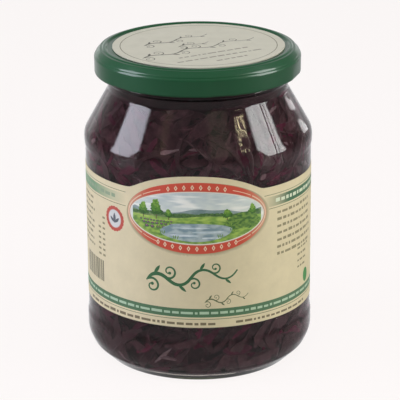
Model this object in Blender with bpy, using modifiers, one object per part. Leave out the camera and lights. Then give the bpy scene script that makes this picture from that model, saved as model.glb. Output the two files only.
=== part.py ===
"""A shut 720 ml preserving jar of shredded red cabbage, with its twist-off lid and paper labels.

The origin is the centre of the foot, +Z is up and the front of the label faces -Y.
Sizes are in metres. Everything round turns about the Z axis.
"""

import math
import random

import bpy
import bmesh
from mathutils import Matrix, Vector

MM = 0.001

# Driving dimensions of the jar and its cap
LID_RADIUS = 42.75 * MM  # an 82 mm twist-off cap measures 85.5 mm over its skirt
JAR_HEIGHT = 131.6 * MM  # foot to sealing rim
BEAD_RADIUS = 47.65 * MM  # the two rounded beads that guard the label
GLASS_WALL = 2.3 * MM
GAP = 0.3 * MM  # between neighbours that touch in the real jar
TURN_STEPS = 48

# Radii of the glass
PANEL_RADIUS = 46.75 * MM  # the straight wall that the label is glued to
LOWER_WALL_RADIUS = 47.3 * MM  # between the label and the lower bead
HEEL_RADIUS = 45.4 * MM
FOOT_RADIUS = 39.6 * MM
FOOT_INNER_RADIUS = 35.0 * MM  # inside the ring that the jar stands on
PUSH_UP_RADIUS = 32.0 * MM
FLOOR_RADIUS = 30.0 * MM
NECK_RADIUS = 37.4 * MM
MOUTH_RADIUS = 35.0 * MM
FINISH_RADIUS = 39.3 * MM

# Heights on the glass, from the foot up
PUSH_UP = 2.0 * MM
FLOOR_HEIGHT = 4.2 * MM
HEEL_HEIGHT = 5.6 * MM
BEAD_FOOT = 10.6 * MM
BEAD_LOW = 17.6 * MM
BEAD_LOW_END = 19.6 * MM
PANEL_LOW = 25.8 * MM
PANEL_HIGH = 91.9 * MM
BEAD_HIGH = 93.6 * MM
INNER_SHOULDER = 94.4 * MM
SHOULDER = 97.4 * MM
SHOULDER_TOP = 115.6 * MM
FINISH_LOW = 120.6 * MM
FINISH_SLOPE = 1.4 * MM

# The cap
LID_TOP = 133.2 * MM
LID_BOTTOM = 122.3 * MM
LID_SHEET = 0.45 * MM
LID_PANEL_TOP = JAR_HEIGHT + GAP + LID_SHEET
LID_PANEL_RADIUS = 37.3 * MM
LID_RIM_RADII = (38.1 * MM, 40.65 * MM)  # the raised flat over the sealing rim
LID_SHOULDER_DROP = 2.5 * MM  # from the top of the cap down to its upright skirt
SKIRT_TAPER = 0.1 * MM
CURL_RADIUS = 0.95 * MM
CURL_STEPS = 5
CURL_TURN = math.radians(207.0)
LUG_COUNT = 6
LUG_LENGTH = 9.0 * MM
LUG_DEPTH = 1.5 * MM
LUG_HEIGHT = 1.1 * MM
LUG_OVERLAP = 0.5 * MM

# The paper
PAPER = 0.3 * MM
LID_LABEL_RADIUS = 36.4 * MM
LABEL_BOTTOM = 26.8 * MM
LABEL_SIDE_TOP = 82.7 * MM
ARCH_HEIGHT = 8.9 * MM
ARCH_HALF_ANGLE = math.radians(41.5)
ARCH_BLEND = 1.2 * MM  # how softly the arch runs out into the level top edge
LABEL_BACK_GAP = math.radians(9.0)  # bare glass between the label's two ends
LABEL_COLUMNS = 96

# The cabbage
CABBAGE_TOP = 119.5 * MM
CORE_STEPS = 32
SHRED_WIDTH = 3.4 * MM
SHRED_THICKNESS = 1.3 * MM
SHRED_SUNK = 0.45 * MM  # how deep a shred lies in the heap's core
SHRED_LENGTHS = (17.0 * MM, 30.0 * MM)
SHRED_SEGMENTS = 4
SHRED_FACE_SHARE = 0.84  # a shred's outer face against its foot
SHRED_END_TAPER = 0.35
SHRED_STEEPEST = 1.2  # angles in radians
SHRED_BEND = 1.3
SHRED_ROWS = (  # height and number of shreds, where the label leaves the glass bare
    (9.0 * MM, 8),
    (14.5 * MM, 8),
    (20.5 * MM, 7),
    (89.0 * MM, 7),
    (95.5 * MM, 8),
    (102.0 * MM, 8),
    (108.5 * MM, 8),
)
ROW_SCATTER = 1.2 * MM
BACK_SHREDS = 5  # in the bare strip between the label's ends
BACK_SHRED_START = 30.0 * MM
BACK_SHRED_STEP = 13.0 * MM
SHRED_SEED = 720
CORE_INSET = GAP + SHRED_THICKNESS - SHRED_SUNK + 0.15 * MM


def clear_scene():
    for old in list(bpy.data.objects):
        bpy.data.objects.remove(old, do_unlink=True)


def new_collection(name, hidden=False):
    made = bpy.data.collections.new(name)
    made.hide_render = hidden
    bpy.context.scene.collection.children.link(made)
    return made


def new_object(name, mesh, collection):
    made = bpy.data.objects.new(name, mesh)
    collection.objects.link(made)
    return made


def principled(name, colour, roughness, metallic=0.0, transmission=0.0):
    made = bpy.data.materials.new(name)
    made.use_nodes = True
    shader = made.node_tree.nodes["Principled BSDF"]
    shader.inputs["Base Color"].default_value = (*colour, 1.0)
    shader.inputs["Roughness"].default_value = roughness
    shader.inputs["Metallic"].default_value = metallic
    shader.inputs["Transmission Weight"].default_value = transmission
    return made


def rounded(corners, turn_per_step=math.radians(26.0)):
    """Points of a profile through (radius, height, fillet) corners, with each fillet as an arc."""
    points = []
    last = len(corners) - 1
    for index, (radius, height, fillet) in enumerate(corners):
        here = Vector((radius, height))
        if index in (0, last) or fillet == 0.0:
            points.append(here)
            continue
        to_previous = (Vector(corners[index - 1][:2]) - here).normalized()
        to_next = (Vector(corners[index + 1][:2]) - here).normalized()
        half = to_previous.angle(to_next) / 2
        centre = here + (to_previous + to_next).normalized() * fillet / math.sin(half)
        start = here + to_previous * fillet / math.tan(half) - centre
        turn = math.pi - 2 * half
        if start.x * to_next.y - start.y * to_next.x < 0:
            turn = -turn
        steps = max(1, round(abs(turn) / turn_per_step))
        for step in range(steps + 1):
            angle = turn * step / steps
            turned = Vector((
                start.x * math.cos(angle) - start.y * math.sin(angle),
                start.x * math.sin(angle) + start.y * math.cos(angle),
            ))
            points.append(centre + turned)
    return points


def turned(name, profile, collection, steps=TURN_STEPS):
    """A solid of revolution: the profile of (radius, height) points under a Screw modifier."""
    mesh = bpy.data.meshes.new(name)
    points = [(point[0], 0.0, point[1]) for point in profile]
    edges = [(index, index + 1) for index in range(len(points) - 1)]
    mesh.from_pydata(points, edges, [])
    made = new_object(name, mesh, collection)
    screw = made.modifiers.new("Turn", "SCREW")
    screw.steps = steps
    screw.render_steps = steps
    screw.use_merge_vertices = True
    screw.merge_threshold = 0.00001
    screw.use_smooth_shade = True
    return made


def glass_jar(collection):
    """The glass: a turned wall with a thick foot, a pushed-up base, two beads and the neck."""
    inner = PANEL_RADIUS - GLASS_WALL
    inside = rounded([
        (0.0, FLOOR_HEIGHT + PUSH_UP, 0.0),
        (FLOOR_RADIUS, FLOOR_HEIGHT, 20.0 * MM),
        (inner, FLOOR_HEIGHT + 0.6 * MM, 10.5 * MM),
        (inner, INNER_SHOULDER, 12.0 * MM),
        (MOUTH_RADIUS, SHOULDER_TOP - 0.4 * MM, 4.0 * MM),
        (MOUTH_RADIUS, JAR_HEIGHT, 1.0 * MM),
        (FINISH_RADIUS, JAR_HEIGHT, 0.0),
    ])[:-1]
    outside = rounded([
        (MOUTH_RADIUS, JAR_HEIGHT, 0.0),
        (FINISH_RADIUS, JAR_HEIGHT, 1.0 * MM),
        (FINISH_RADIUS, FINISH_LOW, 0.8 * MM),
        (NECK_RADIUS, FINISH_LOW - FINISH_SLOPE, 0.9 * MM),
        (NECK_RADIUS, SHOULDER_TOP, 1.6 * MM),
        (BEAD_RADIUS, SHOULDER, 8.0 * MM),
        (BEAD_RADIUS, BEAD_HIGH, 0.6 * MM),
        (PANEL_RADIUS, PANEL_HIGH, 0.0),
        (PANEL_RADIUS, PANEL_LOW, 0.0),
        (LOWER_WALL_RADIUS, PANEL_LOW - 0.7 * MM, 0.0),
        (LOWER_WALL_RADIUS, BEAD_LOW_END, 0.0),
        (BEAD_RADIUS, BEAD_LOW, 0.0),
        (BEAD_RADIUS, BEAD_FOOT, 10.0 * MM),
        (HEEL_RADIUS, HEEL_HEIGHT, 4.5 * MM),
        (FOOT_RADIUS, 0.0, 1.5 * MM),
        (FOOT_INNER_RADIUS, 0.0, 0.0),
        (PUSH_UP_RADIUS, PUSH_UP * 0.55, 0.0),
        (0.0, PUSH_UP, 0.0),
    ])[1:]
    made = turned("glass_jar", inside + outside, collection)
    made.data.materials.append(principled("clear_glass", (0.86, 0.92, 0.88), 0.03, transmission=1.0))
    return made


def cap_shell_profile():
    """The tinplate cap in section: panel, sealing channel, skirt and the curl under it."""
    rim_inner, rim_outer = LID_RIM_RADII
    foot_radius = LID_RADIUS - SKIRT_TAPER / 2
    outer = rounded([
        (0.0, LID_PANEL_TOP, 0.0),
        (LID_PANEL_RADIUS, LID_PANEL_TOP, 0.0),
        (rim_inner, LID_TOP, 0.3 * MM),
        (rim_outer, LID_TOP, 1.0 * MM),
        (LID_RADIUS - SKIRT_TAPER, LID_TOP - LID_SHOULDER_DROP, 1.6 * MM),
        (LID_RADIUS, LID_TOP - LID_SHOULDER_DROP * 2.5, 0.0),
        (foot_radius, LID_BOTTOM + CURL_RADIUS, 0.0),
    ])
    curl_centre = Vector((foot_radius - CURL_RADIUS, LID_BOTTOM + CURL_RADIUS))
    curl = []
    for step in range(1, CURL_STEPS + 1):
        angle = -CURL_TURN * step / CURL_STEPS
        curl.append(curl_centre + CURL_RADIUS * Vector((math.cos(angle), math.sin(angle))))
    inner_radius = LID_RADIUS - LID_SHEET
    inner = rounded([
        (inner_radius - 0.6 * MM, LID_BOTTOM + CURL_RADIUS * 2.2, 0.0),
        (inner_radius, LID_BOTTOM + CURL_RADIUS * 3.4, 0.0),
        (inner_radius - SKIRT_TAPER, LID_TOP - LID_SHOULDER_DROP, 1.4 * MM),
        (rim_outer - LID_SHEET / 2, LID_TOP - LID_SHEET, 0.0),
        (rim_inner + 0.3 * MM, LID_TOP - LID_SHEET, 0.0),
        (LID_PANEL_RADIUS + 0.2 * MM, LID_PANEL_TOP - LID_SHEET, 0.0),
        (0.0, LID_PANEL_TOP - LID_SHEET, 0.0),
    ])
    return outer + curl + inner


def lug(name, angle, collection):
    """One lug: a flat block that reaches inwards from the curl, under the jar's thread."""
    depth = LUG_DEPTH + LUG_OVERLAP
    middle = LID_RADIUS - 2 * CURL_RADIUS + LUG_OVERLAP - depth / 2
    place = Matrix.Rotation(angle, 4, "Z") @ Matrix.Translation((middle, 0.0, LID_BOTTOM + CURL_RADIUS))
    cage = bmesh.new()
    bmesh.ops.create_cube(cage, size=1.0)
    cage.transform(place @ Matrix.Diagonal((depth, LUG_LENGTH, LUG_HEIGHT, 1.0)))
    mesh = bpy.data.meshes.new(name)
    cage.to_mesh(mesh)
    cage.free()
    made = new_object(name, mesh, collection)
    made.hide_render = True
    made.display_type = "WIRE"


def lid(collection, lugs):
    """The lacquered cap, with the six lugs that its curl is pressed into joined on."""
    made = turned("lid", cap_shell_profile(), collection)
    for index in range(LUG_COUNT):
        lug(f"lug_{index}", math.tau * (index + 0.5) / LUG_COUNT, lugs)
    union = made.modifiers.new("Lugs", "BOOLEAN")
    union.operation = "UNION"
    union.operand_type = "COLLECTION"
    union.collection = lugs
    made.data.materials.append(principled("green_lacquered_tinplate", (0.02, 0.13, 0.06), 0.28))
    return made


def lid_label(collection):
    """The round paper label on the cap's panel."""
    low = LID_PANEL_TOP + GAP
    bpy.ops.mesh.primitive_cylinder_add(
        vertices=TURN_STEPS,
        radius=LID_LABEL_RADIUS,
        depth=PAPER,
        location=(0.0, 0.0, low + PAPER / 2),
    )
    made = bpy.context.active_object
    made.name = "lid_label"
    for owner in list(made.users_collection):
        owner.objects.unlink(made)
    collection.objects.link(made)
    made.data.materials.append(principled("lid_label_paper", (0.60, 0.57, 0.47), 0.6))
    return made


def label_top(angle):
    """Height of the label's top edge at an angle from the front: level, with an arch in front."""
    rise = ARCH_HEIGHT * (1.0 - (angle / ARCH_HALF_ANGLE) ** 2)
    return LABEL_SIDE_TOP + (rise + math.hypot(rise, ARCH_BLEND)) / 2


def body_label(collection):
    """The wrap-round label: a flat grid rolled onto the panel and given the paper's thickness."""
    mesh = bpy.data.meshes.new("label")
    sheet = bmesh.new()
    bmesh.ops.create_grid(sheet, x_segments=LABEL_COLUMNS, y_segments=2, size=0.5)
    half_wrap = math.pi - LABEL_BACK_GAP / 2
    radius = PANEL_RADIUS + GAP
    for vertex in sheet.verts:
        angle = 2 * half_wrap * vertex.co.x
        share = vertex.co.y + 0.5
        height = LABEL_BOTTOM + (label_top(angle) - LABEL_BOTTOM) * share
        vertex.co = (radius * math.sin(angle), -radius * math.cos(angle), height)
    bmesh.ops.recalc_face_normals(sheet, faces=sheet.faces)
    sheet.to_mesh(mesh)
    sheet.free()
    if mesh.polygons[0].normal.dot(mesh.polygons[0].center) < 0:
        mesh.flip_normals()
    made = new_object("label", mesh, collection)
    paper = made.modifiers.new("Paper", "SOLIDIFY")
    paper.thickness = PAPER
    paper.offset = 1.0
    mesh.materials.append(principled("cream_label_paper", (0.68, 0.60, 0.42), 0.6))
    return made


def profile_radius(profile, height):
    """Radius of a rising profile at a height."""
    for low, high in zip(profile, profile[1:]):
        if low[1] <= height <= high[1] and high[1] > low[1]:
            share = (height - low[1]) / (high[1] - low[1])
            return low[0] + (high[0] - low[0]) * share
    return profile[-1][0]


def core_profile():
    """The heap's core: the glass inside, moved in by the room that the shreds need."""
    wall = PANEL_RADIUS - GLASS_WALL - CORE_INSET
    return rounded([
        (0.0, FLOOR_HEIGHT + PUSH_UP + GAP, 0.0),
        (FLOOR_RADIUS, FLOOR_HEIGHT + GAP, 20.0 * MM),
        (wall, FLOOR_HEIGHT + GAP + CORE_INSET, 10.5 * MM),
        (wall, INNER_SHOULDER - CORE_INSET / 2, 11.0 * MM),
        (MOUTH_RADIUS - CORE_INSET, SHOULDER_TOP - CORE_INSET * 0.7, 3.0 * MM),
        (MOUTH_RADIUS - CORE_INSET, CABBAGE_TOP, 1.5 * MM),
        (0.0, CABBAGE_TOP + 0.6 * MM, 0.0),
    ], math.radians(32.0))


def shred(name, wall, angle, height, heading, length, bend, collection):
    """One shred of cabbage: a flat bent strip that hugs the core, with its outer face proud of it."""
    probe = 0.5 * MM
    lowest = wall[0][1] + SHRED_THICKNESS
    highest = CABBAGE_TOP - SHRED_WIDTH / 2
    around = angle
    up = height
    cage = bmesh.new()
    rings = []
    for index in range(SHRED_SEGMENTS + 1):
        share = index / SHRED_SEGMENTS
        direction = heading + bend * (share - 0.5)
        radius = profile_radius(wall, up)
        slope = math.atan2(radius - profile_radius(wall, up + probe), probe)
        outward = Vector((math.cos(around) * math.cos(slope), math.sin(around) * math.cos(slope),
                          math.sin(slope)))
        sideways = Vector((-math.sin(around), math.cos(around), 0.0))
        along = sideways * math.cos(direction) + outward.cross(sideways) * math.sin(direction)
        across = outward.cross(along).normalized()
        foot = SHRED_WIDTH / 2 * (1.0 - SHRED_END_TAPER * (2 * share - 1) ** 2)
        face = foot * SHRED_FACE_SHARE
        proud = SHRED_THICKNESS - SHRED_SUNK
        centre = Vector((radius * math.cos(around), radius * math.sin(around), up))
        section = ((-foot, -SHRED_SUNK), (foot, -SHRED_SUNK), (face, proud), (-face, proud))
        rings.append([cage.verts.new(centre + across * side + outward * lift) for side, lift in section])
        step = length / SHRED_SEGMENTS
        around += step * math.cos(direction) / radius
        up += step * math.sin(direction) * math.cos(slope)
        up = min(max(up, lowest), highest)
    for first, second in zip(rings, rings[1:]):
        for side in range(4):
            cage.faces.new((first[side], first[(side + 1) % 4], second[(side + 1) % 4], second[side]))
    cage.faces.new(rings[0][::-1])
    cage.faces.new(rings[-1])
    bmesh.ops.triangulate(cage, faces=cage.faces)
    bmesh.ops.recalc_face_normals(cage, faces=cage.faces)
    mesh = bpy.data.meshes.new(name)
    cage.to_mesh(mesh)
    cage.free()
    return new_object(name, mesh, collection)


def shred_places(rng):
    """(angle, height) of each shred: rows round the shoulder and round the foot, where glass shows."""
    for row, (height, count) in enumerate(SHRED_ROWS):
        for index in range(count):
            angle = math.tau * (index + 0.5 * (row % 2) + rng.uniform(-0.22, 0.22)) / count
            yield angle, height + rng.uniform(-ROW_SCATTER, ROW_SCATTER)
    for step in range(BACK_SHREDS):
        yield math.pi / 2 + rng.uniform(-0.1, 0.1), BACK_SHRED_START + BACK_SHRED_STEP * step


def red_cabbage(collection, pieces):
    """The cabbage: a turned core with shreds fused on wherever the glass lets them be seen."""
    rng = random.Random(SHRED_SEED)
    wall = core_profile()
    made = turned("red_cabbage", wall[::-1], collection, steps=CORE_STEPS)
    for index, (angle, height) in enumerate(shred_places(rng)):
        heading = rng.uniform(-SHRED_STEEPEST, SHRED_STEEPEST)
        length = rng.uniform(*SHRED_LENGTHS)
        bend = rng.uniform(-SHRED_BEND, SHRED_BEND)
        shred(f"shred_{index}", wall, angle, height, heading, length, bend, pieces)
    union = made.modifiers.new("Shreds", "BOOLEAN")
    union.operation = "UNION"
    union.operand_type = "COLLECTION"
    union.collection = pieces
    apply_modifiers(made)
    keep_largest_shell(made)
    for piece in list(pieces.objects):
        bpy.data.objects.remove(piece, do_unlink=True)
    made.data.materials.clear()
    made.data.materials.append(principled("red_cabbage_shreds", (0.10, 0.015, 0.03), 0.35))
    return made


def apply_modifiers(made):
    """Replaces an object's mesh with its evaluated one and drops the modifiers."""
    graph = bpy.context.evaluated_depsgraph_get()
    mesh = bpy.data.meshes.new_from_object(made.evaluated_get(graph))
    made.modifiers.clear()
    made.data = mesh


def keep_largest_shell(made):
    """Fills the hollows that fusing sealed and drops loose scrap: only the largest shell stays."""
    cage = bmesh.new()
    cage.from_mesh(made.data)
    shells = []
    unseen = set(cage.faces)
    while unseen:
        front = [unseen.pop()]
        shell = list(front)
        while front:
            face = front.pop()
            for edge in face.edges:
                for other in edge.link_faces:
                    if len(edge.link_faces) == 2 and other in unseen:
                        unseen.remove(other)
                        front.append(other)
                        shell.append(other)
        shells.append(shell)
    shells.sort(key=len)
    scrap = [face for shell in shells[:-1] for face in shell]
    bmesh.ops.delete(cage, geom=scrap, context="FACES")
    cage.to_mesh(made.data)
    cage.free()


def main():
    clear_scene()
    jar = new_collection("red_cabbage_jar")
    lugs = new_collection("lugs", hidden=True)
    shreds = new_collection("shreds", hidden=True)
    glass_jar(jar)
    lid(jar, lugs)
    lid_label(jar)
    body_label(jar)
    red_cabbage(jar, shreds)


main()
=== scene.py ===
import random
from math import atan2, ceil, copysign, cos, hypot, pi, radians, sin, sqrt, tan, tau

import bmesh
import bpy
import numpy as np
from mathutils import Matrix, Vector, geometry, noise


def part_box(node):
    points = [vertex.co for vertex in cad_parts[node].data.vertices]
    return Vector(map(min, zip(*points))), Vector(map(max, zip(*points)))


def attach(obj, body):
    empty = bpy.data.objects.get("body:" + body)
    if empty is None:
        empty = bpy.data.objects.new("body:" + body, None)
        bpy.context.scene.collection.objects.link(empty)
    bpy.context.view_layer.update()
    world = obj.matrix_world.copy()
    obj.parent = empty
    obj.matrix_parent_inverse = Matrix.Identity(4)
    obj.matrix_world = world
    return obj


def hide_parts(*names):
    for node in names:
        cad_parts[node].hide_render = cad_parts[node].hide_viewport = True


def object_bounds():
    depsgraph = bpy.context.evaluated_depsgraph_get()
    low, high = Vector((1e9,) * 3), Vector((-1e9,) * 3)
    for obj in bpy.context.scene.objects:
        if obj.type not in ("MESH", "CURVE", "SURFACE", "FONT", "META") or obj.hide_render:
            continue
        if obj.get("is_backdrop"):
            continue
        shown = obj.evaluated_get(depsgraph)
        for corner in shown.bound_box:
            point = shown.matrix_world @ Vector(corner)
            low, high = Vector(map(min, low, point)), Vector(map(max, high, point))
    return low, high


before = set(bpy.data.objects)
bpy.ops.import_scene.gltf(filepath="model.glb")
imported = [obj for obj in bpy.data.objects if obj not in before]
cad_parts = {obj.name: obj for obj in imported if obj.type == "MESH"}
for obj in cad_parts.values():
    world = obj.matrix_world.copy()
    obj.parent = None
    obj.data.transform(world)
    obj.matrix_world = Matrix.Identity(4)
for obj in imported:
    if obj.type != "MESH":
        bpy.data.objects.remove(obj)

# Lengths in this script are in millimetres, and MM turns them to Blender's metres.
MM = 0.001
cad_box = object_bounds()


def top_of(node):
    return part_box(node)[1][2] / MM


def bottom_of(node):
    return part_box(node)[0][2] / MM


def reach_of(node):
    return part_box(node)[1][0] / MM


# Sizes that come from the frame
JAR_RADIUS = reach_of("glass_jar")
JAR_TOP = top_of("glass_jar")
LID_RADIUS = reach_of("lid")
LID_TOP = top_of("lid")
LID_BOTTOM = bottom_of("lid")
DISC_RADIUS = reach_of("lid_label")
DISC_TOP = top_of("lid_label")
CABBAGE_TOP = top_of("red_cabbage")

# The glass
PANEL_RADIUS = JAR_RADIUS - 0.45
NECK_RADIUS = 37.4
FINISH_RADIUS = 39.3
WALL = 2.3
INNER_RADIUS = PANEL_RADIUS - WALL
MOUTH_RADIUS = 35.0
FLOOR = 3.5
TURN_STEPS = 180
SEAM_ANGLE = radians(42.7)
SEAM_HALF_WIDTH = 1.0
SEAM_TOP_HALF_WIDTH = 0.5
SEAM_RISE = 0.17
SEAM_STRETCHES = ((8.0, 25.6), (85.6, 117.0))
GLASS_WAVE = 0.09

# The paper. The tilt, the turn and the shifts are how far the labels were laid off true.
PAPER = 0.12
DISC_PAPER = 0.35
DISC_SHIFT = 0.45
DISC_EDGE = 0.8
LABEL_RADIUS = PANEL_RADIUS + 0.02 + PAPER
LABEL_TILT = -0.0105
LABEL_TURN = radians(-0.97)
ARCH_SHIFT = -0.5
LABEL_HALF_WRAP = radians(175.5)
LABEL_SIDE_TOP = 83.72
LABEL_LOW = 26.45
ARCH_RISE = 7.55
ARCH_HALF_ANGLE = radians(34.1)
ARCH_POWER = 2.26
ARCH_BLEND = 0.9

# The filling
BRINE_TOP = 121.6
BRINE_INTO_WALL = 0.15
CORE_INSET = 4.0

# The real size of one lump of each pattern
GLASS_RIPPLE = 11.11
LEAF_VEIN = 2.381
HEAP_LUMP = 6.25
LACQUER_MOTTLE = 16.67
LACQUER_PEEL = 1.111
PAPER_CLOUD = 7.143
PAPER_FIBRE = 0.625


# Small tools

def linear(hex_colour):
    """An sRGB hex colour as linear red, green, blue and a full alpha."""
    channels = [int(hex_colour[i:i + 2], 16) / 255 for i in (1, 3, 5)]
    flat = [c / 12.92 if c <= 0.04045 else ((c + 0.055) / 1.055) ** 2.4 for c in channels]
    return (*flat, 1.0)


def blend(first, second, share):
    share = min(max(share, 0.0), 1.0)
    return tuple(a + (b - a) * share for a, b in zip(first, second))


def deselect_all():
    if bpy.context.mode != "OBJECT":
        bpy.ops.object.mode_set(mode="OBJECT")
    bpy.ops.object.select_all(action="DESELECT")


def select_only(piece):
    deselect_all()
    bpy.context.view_layer.objects.active = piece
    piece.select_set(True)


def placed(name, data):
    """An object in the scene for a mesh, a light or a camera."""
    made = bpy.data.objects.new(name, data)
    bpy.context.scene.collection.objects.link(made)
    return made


def finish_piece(piece, material, slot, *nodes):
    """Gives a piece its material and its place on the jar, and lets it stand for CAD nodes."""
    piece.data.materials.clear()
    piece.data.materials.append(material)
    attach(piece, "root")
    if nodes:
        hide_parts(*nodes)


def rounded(corners, turn_per_step=radians(7.0), hold=0.4):
    """Points of a profile through (radius, height, fillet) corners, with each fillet as an arc. A point
    close to each end of a straight stretch holds it flat where the piece is shaded smooth."""
    arcs = []
    last = len(corners) - 1
    for index, (radius, height, fillet) in enumerate(corners):
        here = Vector((radius, height))
        if index in (0, last) or fillet == 0.0:
            arcs.append([here])
            continue
        to_previous = (Vector(corners[index - 1][:2]) - here).normalized()
        to_next = (Vector(corners[index + 1][:2]) - here).normalized()
        half = to_previous.angle(to_next) / 2
        centre = here + (to_previous + to_next).normalized() * fillet / sin(half)
        start = here + to_previous * fillet / tan(half) - centre
        turn = pi - 2 * half
        if start.x * to_next.y - start.y * to_next.x < 0:
            turn = -turn
        steps = max(2, round(abs(turn) / turn_per_step))
        arcs.append([centre + Matrix.Rotation(turn * step / steps, 2) @ start for step in range(steps + 1)])
    points = arcs[0]
    for arc in arcs[1:]:
        straight = arc[0] - points[-1]
        if straight.length > 3 * hold:
            step = straight.normalized() * hold
            points = points + [points[-1] + step, arc[0] - step]
        points = points + arc
    return points


def face_outwards(piece):
    """Turns all faces round if they enclose less than nothing. Blender's own recalculation can take
    the inner wall of a deep vessel for its outside."""
    shape = bmesh.new()
    shape.from_mesh(piece.data)
    if shape.calc_volume(signed=True) < 0.0:
        bmesh.ops.reverse_faces(shape, faces=shape.faces)
        shape.to_mesh(piece.data)
    shape.free()


def turned(name, profile, steps=TURN_STEPS, start_angle=0.0, sharp=radians(40.0)):
    """A turned piece: one vertex is extruded along the profile, and the line is spun about +Z."""
    deselect_all()
    bpy.ops.mesh.primitive_plane_add(size=MM)
    piece = bpy.context.active_object
    piece.name = name
    bpy.ops.object.mode_set(mode="EDIT")
    bpy.ops.mesh.merge(type="CENTER")
    across = Vector((sin(start_angle), -cos(start_angle), 0.0))
    places = [across * point[0] * MM + Vector((0.0, 0.0, point[1] * MM)) for point in profile]
    bpy.ops.transform.translate(value=places[0])
    for here, there in zip(places, places[1:]):
        bpy.ops.mesh.extrude_region_move(TRANSFORM_OT_translate={"value": there - here})
    bpy.ops.mesh.select_all(action="SELECT")
    bpy.ops.mesh.spin(steps=steps, angle=tau, center=(0.0, 0.0, 0.0), axis=(0.0, 0.0, 1.0))
    bpy.ops.mesh.select_all(action="SELECT")
    bpy.ops.mesh.remove_doubles(threshold=0.002 * MM)
    bpy.ops.mesh.normals_make_consistent(inside=False)
    bpy.ops.object.mode_set(mode="OBJECT")
    face_outwards(piece)
    bpy.ops.object.shade_smooth_by_angle(angle=sharp)
    return piece


# Material tools

def new_material(name):
    made = bpy.data.materials.new(name)
    made.use_nodes = True
    made.node_tree.nodes.clear()
    return made


def per_metre(size):
    """The scale of a pattern whose lumps have a size in millimetres."""
    return 1.0 / (size * MM)


def add(material, kind, settings=None, **inputs):
    """Adds a node. Settings are its own properties. Inputs are values, or sockets or nodes to link,
    and a node gives its first output."""
    tree = material.node_tree
    made = tree.nodes.new("ShaderNode" + kind)
    for key, value in (settings or {}).items():
        setattr(made, key, value)
    for key, value in inputs.items():
        place = int(key[1:]) if key[0] == "_" else key.replace("_", " ")
        socket = made.inputs[place]
        if isinstance(value, bpy.types.Node):
            value = value.outputs[0]
        if isinstance(value, bpy.types.NodeSocket):
            tree.links.new(value, socket)
        else:
            socket.default_value = value
    return made


def glass_like(name, colour, ior, shadow_colour, depth_colour, density, shine=1.0, wet_shine=1.0,
               wave=0.0):
    """A clear dielectric that lets light straight through to what it holds. The depth colour is
    what white turns to as it goes through the stuff, and density says how soon, per metre. Shine is
    its reflection as a share of what it would give against air, wet_shine the same for faces marked
    as wetted, and wave is the height of its ripples."""
    made = new_material(name)
    extras = {"Specular_Tint": (shine, shine, shine, 1.0)}
    if wet_shine < shine:
        wet = add(made, "Attribute", {"attribute_name": "wetted"})
        extras["Specular_Tint"] = add(made, "MixRGB", Fac=wet.outputs["Fac"],
                                      Color1=(shine, shine, shine, 1.0),
                                      Color2=(wet_shine, wet_shine, wet_shine, 1.0))
    if wave:
        place = add(made, "TexCoord")
        drawn = add(made, "Mapping", Vector=place.outputs["Object"], Scale=(1.0, 1.0, 0.5))
        ripple = add(made, "TexNoise", Vector=drawn, Scale=per_metre(GLASS_RIPPLE), Detail=2.0)
        extras["Normal"] = add(made, "Bump", Strength=1.0, Distance=wave * MM, Height=ripple)
    body = add(made, "BsdfPrincipled", Base_Color=linear(colour), Roughness=0.0, IOR=ior,
               Transmission_Weight=1.0, **extras)
    clear = add(made, "BsdfTransparent", Color=linear(shadow_colour))
    path = add(made, "LightPath")
    mixed = add(made, "MixShader", _0=path.outputs["Is Shadow Ray"], _1=body, _2=clear)
    inner = add(made, "VolumeAbsorption", Color=linear(depth_colour), Density=density)
    add(made, "OutputMaterial", Surface=mixed, Volume=inner)
    return made


# The glass jar

INNER_CORNERS = (
    (0.0, FLOOR + 2.0, 0.0),
    (30.0, FLOOR, 20.0),
    (INNER_RADIUS, FLOOR + 0.6, 7.5),
    (INNER_RADIUS, 94.4, 12.0),
    (MOUTH_RADIUS, 115.2, 4.0),
)


def glass_profile():
    """(radius, height) from the middle of the floor up the inside, over the mouth and down the outside."""
    inside = rounded([
        *INNER_CORNERS,
        (MOUTH_RADIUS, JAR_TOP, 1.0),
        (FINISH_RADIUS, JAR_TOP, 0.0),
    ])[:-1]
    outside = rounded([
        (MOUTH_RADIUS, JAR_TOP, 0.0),
        (FINISH_RADIUS, JAR_TOP, 1.0),
        (FINISH_RADIUS, 120.6, 0.8),
        (NECK_RADIUS, 119.2, 0.9),
        (NECK_RADIUS, 115.6, 1.6),
        (JAR_RADIUS, 97.4, 8.0),
        (JAR_RADIUS - 0.1, 93.2, 3.0),
        (PANEL_RADIUS, 91.6, 3.0),
        (PANEL_RADIUS, 86.0, 0.0),
        (PANEL_RADIUS, 25.2, 0.0),
        (PANEL_RADIUS, 20.5, 6.0),
        (JAR_RADIUS, 18.0, 6.0),
        (JAR_RADIUS, 10.6, 10.0),
        (45.4, 5.6, 4.5),
        (39.6, 0.0, 1.5),
        (35.0, 0.0, 1.0),
        (32.0, 1.1, 2.0),
        (0.0, 2.0, 0.0),
    ])[1:]
    return inside + outside


def seam_offset(x, y):
    """How far a point lies round the jar from the nearer mould seam, in millimetres."""
    turn = (atan2(x, -y) - SEAM_ANGLE + pi / 2) % pi - pi / 2
    return turn * hypot(x, y) / MM


def is_outer(point, wall):
    """Whether a point of the jar lies on its outside and not on the wall within."""
    return hypot(point.x, point.y) / MM > radius_at(wall, point.z / MM) + 1.0


def on_stretch(height):
    """Whether the seam stands proud at a height in metres."""
    return any(low < height / MM < high for low, high in SEAM_STRETCHES)


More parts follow.
